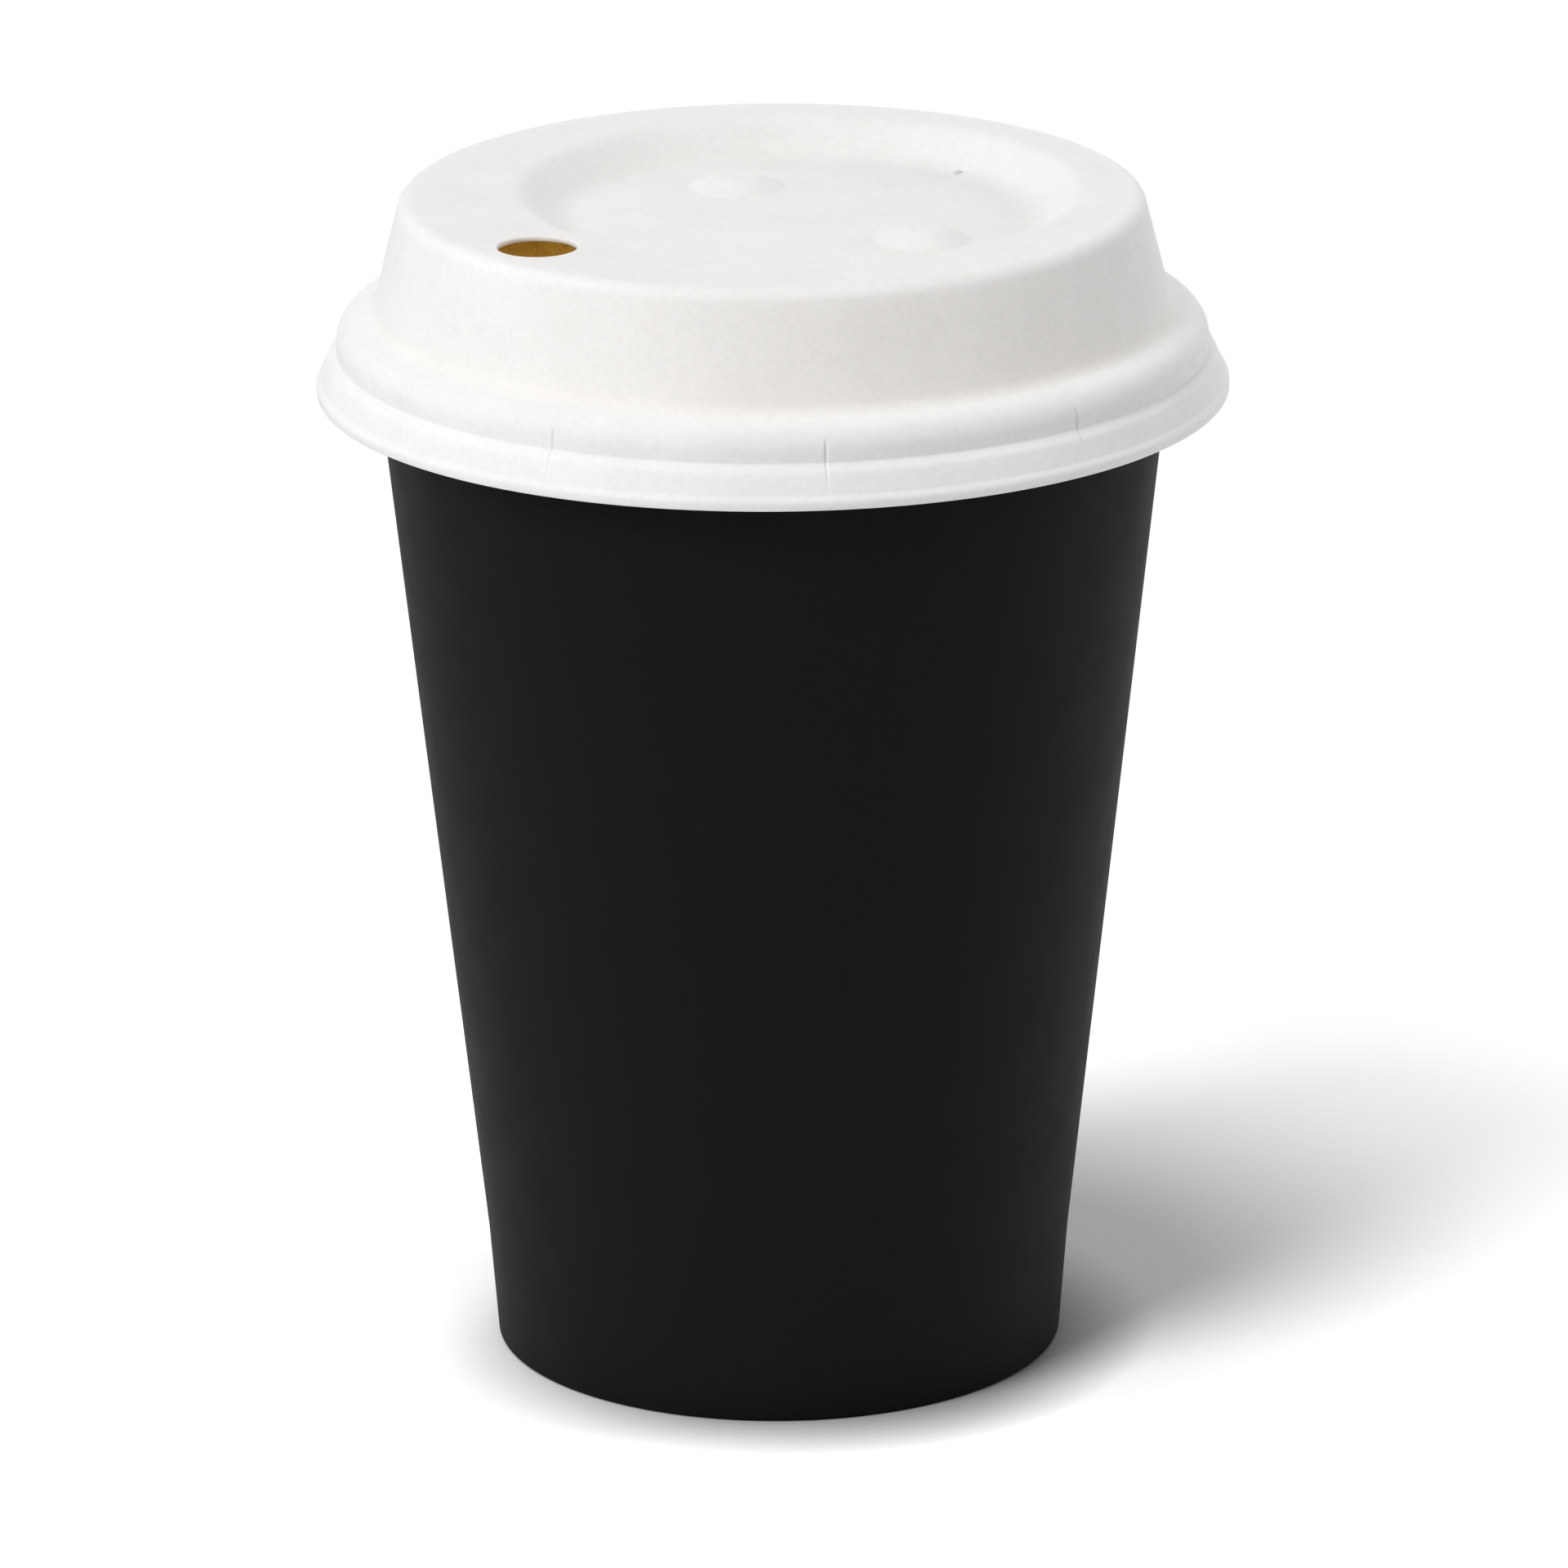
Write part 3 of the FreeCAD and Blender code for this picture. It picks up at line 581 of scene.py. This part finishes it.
def top_plan(edge):
    """Points and triangles of the top in plan, inside the edge loop and outside the two holes."""
    hole = circle_points(HOLE, HOLE_RADIUS + HOLE_SOFT, HOLE_POINTS)
    vent = circle_points(VENT, VENT_RADIUS, VENT_POINTS)
    loops = [edge, hole, vent]
    plan = np.vstack(loops + [plan_cloud(float(np.hypot(*edge[0])))])
    edges, start = [], 0
    for loop in loops:
        size = len(loop)
        edges += [(start + i, start + (i + 1) % size) for i in range(size)]
        start += size
    found, _, triangles, origins, _, _ = delaunay_2d_cdt(
        [Vector((float(x), float(y))) for x, y in plan], edges, [], 1, SAME_PLACE)
    found = np.array(found)
    place_of = {old: new for new, group in enumerate(origins) for old in group}
    kept = []
    for triangle in triangles:
        a, b, c = found[list(triangle)]
        middle = (a + b + c) / 3
        in_hole = np.hypot(*(middle - HOLE)) <= HOLE_RADIUS + HOLE_SOFT
        in_vent = np.hypot(*(middle - VENT)) <= VENT_RADIUS
        if not in_hole and not in_vent:
            kept.append(tuple(triangle) if cross(b - a, c - a) > 0 else tuple(triangle)[::-1])
    loop_ids, start = [], 0
    for loop in loops:
        loop_ids.append([place_of[start + i] for i in range(len(loop))])
        start += len(loop)
    return found, kept, loop_ids


def unevenness(points, size):
    """A soft random offset of the pressed surface, in millimetres."""
    return np.array([UNEVEN_DEPTH * fractal.noise(Vector(point) / size) for point in points.tolist()])


def lid_wall_run():
    """The wall's outer face, from where the flat land ends down to the lip's rounded edge."""
    run, left = rounded_run((
        (LAND_RADIUS - LAND_REACH, LID_TOP, None),
        (LAND_RADIUS, LID_TOP, LAND_BEND + SHELL),
        (DOME_FOOT_RADIUS, DOME_FOOT, DOME_FOOT_BEND),
        (SKIRT_RADIUS, SHOULDER, BEAD_BEND + SHOULDER_EASE + SHELL),
        (SKIRT_RADIUS, CREASE, CREASE_BEND),
        (FLANGE_TOP, CREASE - FLANGE_STEP_DROP, FLANGE_BEND + SHELL),
        (FLANGE_FOOT, FLANGE_FLOOR, LIP_UPPER_BEND),
        (LIP_RADIUS, LIP_TOP, LIP_BEND + SHELL),
        (LIP_RADIUS, LIP_FLOOR + LIP_SOFT, None),
    ), LID_STEP)
    level = left[:, 1] > 1 - NO_LENGTH
    flat = np.where(level)[0][-1]
    return run[flat:], left[flat:]


def make_lid():
    """One moulded shell: outer surface, the same surface a shell's thickness inside, and its edges."""
    run, left = lid_wall_run()
    azimuths, creases = lid_azimuths()
    columns = len(azimuths)
    edge = ring(run[0][0], 0.0, azimuths)[:, :2]
    plan, triangles, (edge_ids, hole_ids, vent_ids) = top_plan(edge)
    tops = np.column_stack([plan, top_height(plan[:, 0], plan[:, 1])])
    top_normals = top_normal(plan[:, 0], plan[:, 1])

    # Rings of the wall below the edge: with the creases outside, and without them inside.
    near = off_creases(azimuths, creases) * SKIRT_RADIUS
    groove = CREASE_DEPTH * np.clip(1 - near / (CREASE_WIDTH / 2), 0, 1)
    wall, smooth_wall, wall_normals = [], [], []
    for (radius, height), (across, up) in zip(run[1:], left[1:]):
        above = height - CREASE
        deep = fade(above, CREASE_FROM, CREASE_FULL) * (1 - fade(above, CREASE_EASE, CREASE_END))
        wall.append(ring(radius - groove * deep, height, azimuths))
        smooth_wall.append(ring(radius, height, azimuths))
        wall_normals.append(ring(across, up, azimuths))
    normals = np.vstack([top_normals] + wall_normals)
    outer = np.vstack([tops] + wall)
    inner = np.vstack([tops] + smooth_wall) - normals * SHELL
    outer = outer + normals * unevenness(outer, OUTER_WAVE)[:, None]
    inner = inner + normals * unevenness(inner + INNER_SHIFT, INNER_WAVE)[:, None]

    top_count, rings, shell_count = len(tops), len(wall), len(outer)
    faces = list(triangles)
    faces += [tuple(shell_count + i for i in reversed(triangle)) for triangle in triangles]
    extra = []

    def ring_ids(number, inside):
        """Ids of a wall ring's points, on the outer or inner face; ring 0 is the top's own edge."""
        start = shell_count if inside else 0
        if number == 0:
            return [start + i for i in edge_ids]
        first = start + top_count + (number - 1) * columns
        return list(range(first, first + columns))

    def new_ring(ring_points):
        """Ids of further points, which come after both faces."""
        first = 2 * shell_count + sum(len(block) for block in extra)
        extra.append(ring_points)
        return list(range(first, first + len(ring_points)))

    def join(loops, flip=False):
        """Quads from each loop of ids to the next."""
        for above, below in zip(loops, loops[1:]):
            for i in range(len(above)):
                j = (i + 1) % len(above)
                quad = (above[i], below[i], below[j], above[j])
                faces.append(quad[::-1] if flip else quad)

    for number in range(rings):
        for inside in (False, True):
            join([ring_ids(number, inside), ring_ids(number + 1, inside)], flip=inside)

    # The lip's rounded bottom edge, from its outer face to its inner one.
    loops = [ring_ids(rings, False)]
    inner_bend = LIP_RADIUS - SHELL + LIP_SOFT
    for angle in np.radians([30, 60, 90]):
        radius = LIP_RADIUS - LIP_SOFT * (1 - math.cos(angle))
        height = LIP_FLOOR + LIP_SOFT * (1 - math.sin(angle))
        loops.append(new_ring(ring(radius, height, azimuths)))
    for angle in np.radians([90, 60, 30]):
        radius = inner_bend - LIP_SOFT * math.cos(angle)
        height = LIP_FLOOR + LIP_SOFT * (1 - math.sin(angle))
        loops.append(new_ring(ring(radius, height, azimuths)))
    join(loops + [ring_ids(rings, True)])

    # The sip hole's rounded edge, down through the land, and the vent's straight one.
    loops = [hole_ids]
    for turn in np.radians([25, 50, 75, 105, 130, 155]):
        radius = HOLE_RADIUS + HOLE_SOFT * (1 - math.sin(turn))
        depth = HOLE_SOFT * (1 - math.cos(turn))
        if turn > math.pi / 2:
            depth = SHELL - HOLE_SOFT * (1 + math.cos(turn))
        rim = circle_points(HOLE, radius, HOLE_POINTS)
        loops.append(new_ring(np.column_stack([rim, np.full(HOLE_POINTS, LID_TOP - depth)])))
    join(loops + [[shell_count + i for i in hole_ids]], flip=True)
    join([vent_ids, [shell_count + i for i in vent_ids]], flip=True)

    points = np.vstack([outer, inner] + extra)
    turn = np.array([[math.cos(LID_TURN), math.sin(LID_TURN), 0],
                     [-math.sin(LID_TURN), math.cos(LID_TURN), 0],
                     [0, 0, 1]])
    lid = add_mesh("lid_shell", points @ turn, faces, (FIBRE,))
    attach(lid, "lid")
    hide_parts("lid")


make_cup_wall()
make_cup_base()
make_lid()


# Floor, in metres: its tone for the light on the object, and its tone where it is looked at.
FLOOR_SIZE = 12.0
FLOOR_TONE, FLOOR_SEEN = 0.8, 1.32
# The contact shadow: its reach and depth, and the side of the sky that counts as covered.
CONTACT_REACH, CONTACT_DEPTH = 0.0105, 1.05
CONTACT_TOWARDS = (-0.47, 0.57, 0.67)
# Past the shadow the floor turns into a plain white backdrop, by its distance from the cup.
WHITE_FROM, WHITE_FULL = 0.1, 0.127

SKY_STRENGTH, WHITE_STRENGTH = 0.16, 1.0

# Disc lamps round the cup: name, place and diameter in metres, and power in watts.
LAMP_AIM = (0, 0, 0.07)
LAMPS = (
    ("key_low", (-2.39, -2.30, 2.31), 2.0, 101),
    ("key_high", (-0.74, -0.62, 3.95), 2.0, 63),
    ("side_fill", (2.38, 0.42, 0.72), 1.2, 21),
    ("back_fill", (0.62, 2.33, 0.72), 1.2, 12),
)
# A weak warm lamp under the dome, facing down, is the light that the thin fibre lets through.
GLOW_PLACE, GLOW_AIM = (0, 0, 0.1165), (0, 0, 0)
GLOW_SIZE, GLOW_POWER, GLOW_TINT = 0.05, 0.0225, (1.0, 0.9, 0.5)

# Camera as fitted to the photograph: a long lens, looking down a little.
CAMERA_PLACE = (0.000888, -1.108880, 0.416415)
CAMERA_PITCH, CAMERA_ROLL = 0.310157, -0.0062988
SENSOR, LENS = 36.0, 250.965
CLIP_NEAR, CLIP_FAR = 0.05, 50.0


def math_node(tree, operation, first, second):
    return add_node(tree, "ShaderNodeMath", {0: first, 1: second}, operation=operation).outputs[0]


def seen_directly(tree):
    """1 for what the camera sees, also in gloss and through glass, and 0 for light on the object."""
    path = add_node(tree, "ShaderNodeLightPath").outputs
    glossy = math_node(tree, "MAXIMUM", path["Is Camera Ray"], path["Is Glossy Ray"])
    return math_node(tree, "MAXIMUM", glossy, path["Is Transmission Ray"])


def make_floor():
    """A pale floor that keeps the shadow, and is white where it is fully lit or far away."""
    material = bpy.data.materials.new("floor_white")
    material.use_nodes = True
    tree = material.node_tree
    tree.nodes.clear()
    seen = seen_directly(tree)
    tone = add_node(tree, "ShaderNodeMapRange", {
        "Value": seen, "To Min": FLOOR_TONE, "To Max": FLOOR_SEEN}, clamp=False).outputs["Result"]
    towards = add_node(tree, "ShaderNodeCombineXYZ", dict(zip("XYZ", CONTACT_TOWARDS))).outputs[0]
    open_share = add_node(tree, "ShaderNodeAmbientOcclusion", {
        "Distance": CONTACT_REACH, "Normal": towards}).outputs["AO"]
    contact = math_node(tree, "POWER", open_share, CONTACT_DEPTH)
    colour = math_node(tree, "MULTIPLY", tone, contact)
    lit = add_node(tree, "ShaderNodeBsdfDiffuse", {"Color": colour}).outputs["BSDF"]
    distance = add_node(tree, "ShaderNodeVectorMath", {
        0: object_coordinates(tree)}, operation="LENGTH").outputs["Value"]
    far = add_node(tree, "ShaderNodeMapRange", {
        "Value": distance, "From Min": WHITE_FROM, "From Max": WHITE_FULL},
        interpolation_type="SMOOTHSTEP").outputs["Result"]
    white = add_node(tree, "ShaderNodeEmission", {"Strength": WHITE_STRENGTH}).outputs["Emission"]
    mix = add_node(tree, "ShaderNodeMixShader", {
        0: math_node(tree, "MULTIPLY", seen, far), 1: lit, 2: white}).outputs[0]
    add_node(tree, "ShaderNodeOutputMaterial", {"Surface": mix})
    half = FLOOR_SIZE / 2 / MM
    corners = [(-half, -half, 0), (half, -half, 0), (half, half, 0), (-half, half, 0)]
    floor = add_mesh("floor", corners, [(0, 1, 2, 3)], (material,))


def make_world():
    """A weak even sky, and plain white where it is looked at."""
    world = bpy.data.worlds.new("studio")
    bpy.context.scene.world = world
    world.use_nodes = True
    tree = world.node_tree
    tree.nodes.clear()
    soft, white = [
        add_node(tree, "ShaderNodeBackground", {"Color": (1, 1, 1, 1), "Strength": strength}).outputs[0]
        for strength in (SKY_STRENGTH, WHITE_STRENGTH)]
    mix = add_node(tree, "ShaderNodeMixShader", {0: seen_directly(tree), 1: soft, 2: white})
    add_node(tree, "ShaderNodeOutputWorld", {"Surface": mix.outputs[0]})


def add_lamp(name, place, size, power, aim=LAMP_AIM, tint=(1.0, 1.0, 1.0)):
    """A disc lamp that faces a point."""
    light = bpy.data.lights.new(name, "AREA")
    light.shape = "DISK"
    light.size = size
    light.energy = power
    light.color = tint
    lamp = bpy.data.objects.new(name, light)
    lamp.location = place
    lamp.rotation_euler = (Vector(aim) - Vector(place)).to_track_quat("-Z", "Y").to_euler()
    bpy.context.scene.collection.objects.link(lamp)
    return lamp


def make_camera():
    data = bpy.data.cameras.new("camera")
    data.sensor_width = SENSOR
    data.lens = LENS
    data.clip_start, data.clip_end = CLIP_NEAR, CLIP_FAR
    camera = bpy.data.objects.new("camera", data)
    ahead = Vector((0, math.cos(CAMERA_PITCH), -math.sin(CAMERA_PITCH)))
    up = Vector((0, math.sin(CAMERA_PITCH), math.cos(CAMERA_PITCH)))
    right = Vector((1, 0, 0))
    across = math.cos(CAMERA_ROLL) * right + math.sin(CAMERA_ROLL) * up
    upward = -math.sin(CAMERA_ROLL) * right + math.cos(CAMERA_ROLL) * up
    pose = Matrix((across, upward, -ahead)).transposed().to_4x4()
    pose.translation = Vector(CAMERA_PLACE)
    camera.matrix_world = pose
    bpy.context.scene.collection.objects.link(camera)
    bpy.context.scene.camera = camera


make_floor()
make_world()
make_camera()
for lamp_name, lamp_place, lamp_size, lamp_power in LAMPS:
    add_lamp(lamp_name, lamp_place, lamp_size, lamp_power)
glow = add_lamp("lid_glow", GLOW_PLACE, GLOW_SIZE, GLOW_POWER, GLOW_AIM, GLOW_TINT)
glow.visible_camera = False

bpy.context.scene.view_settings.view_transform = "Standard"
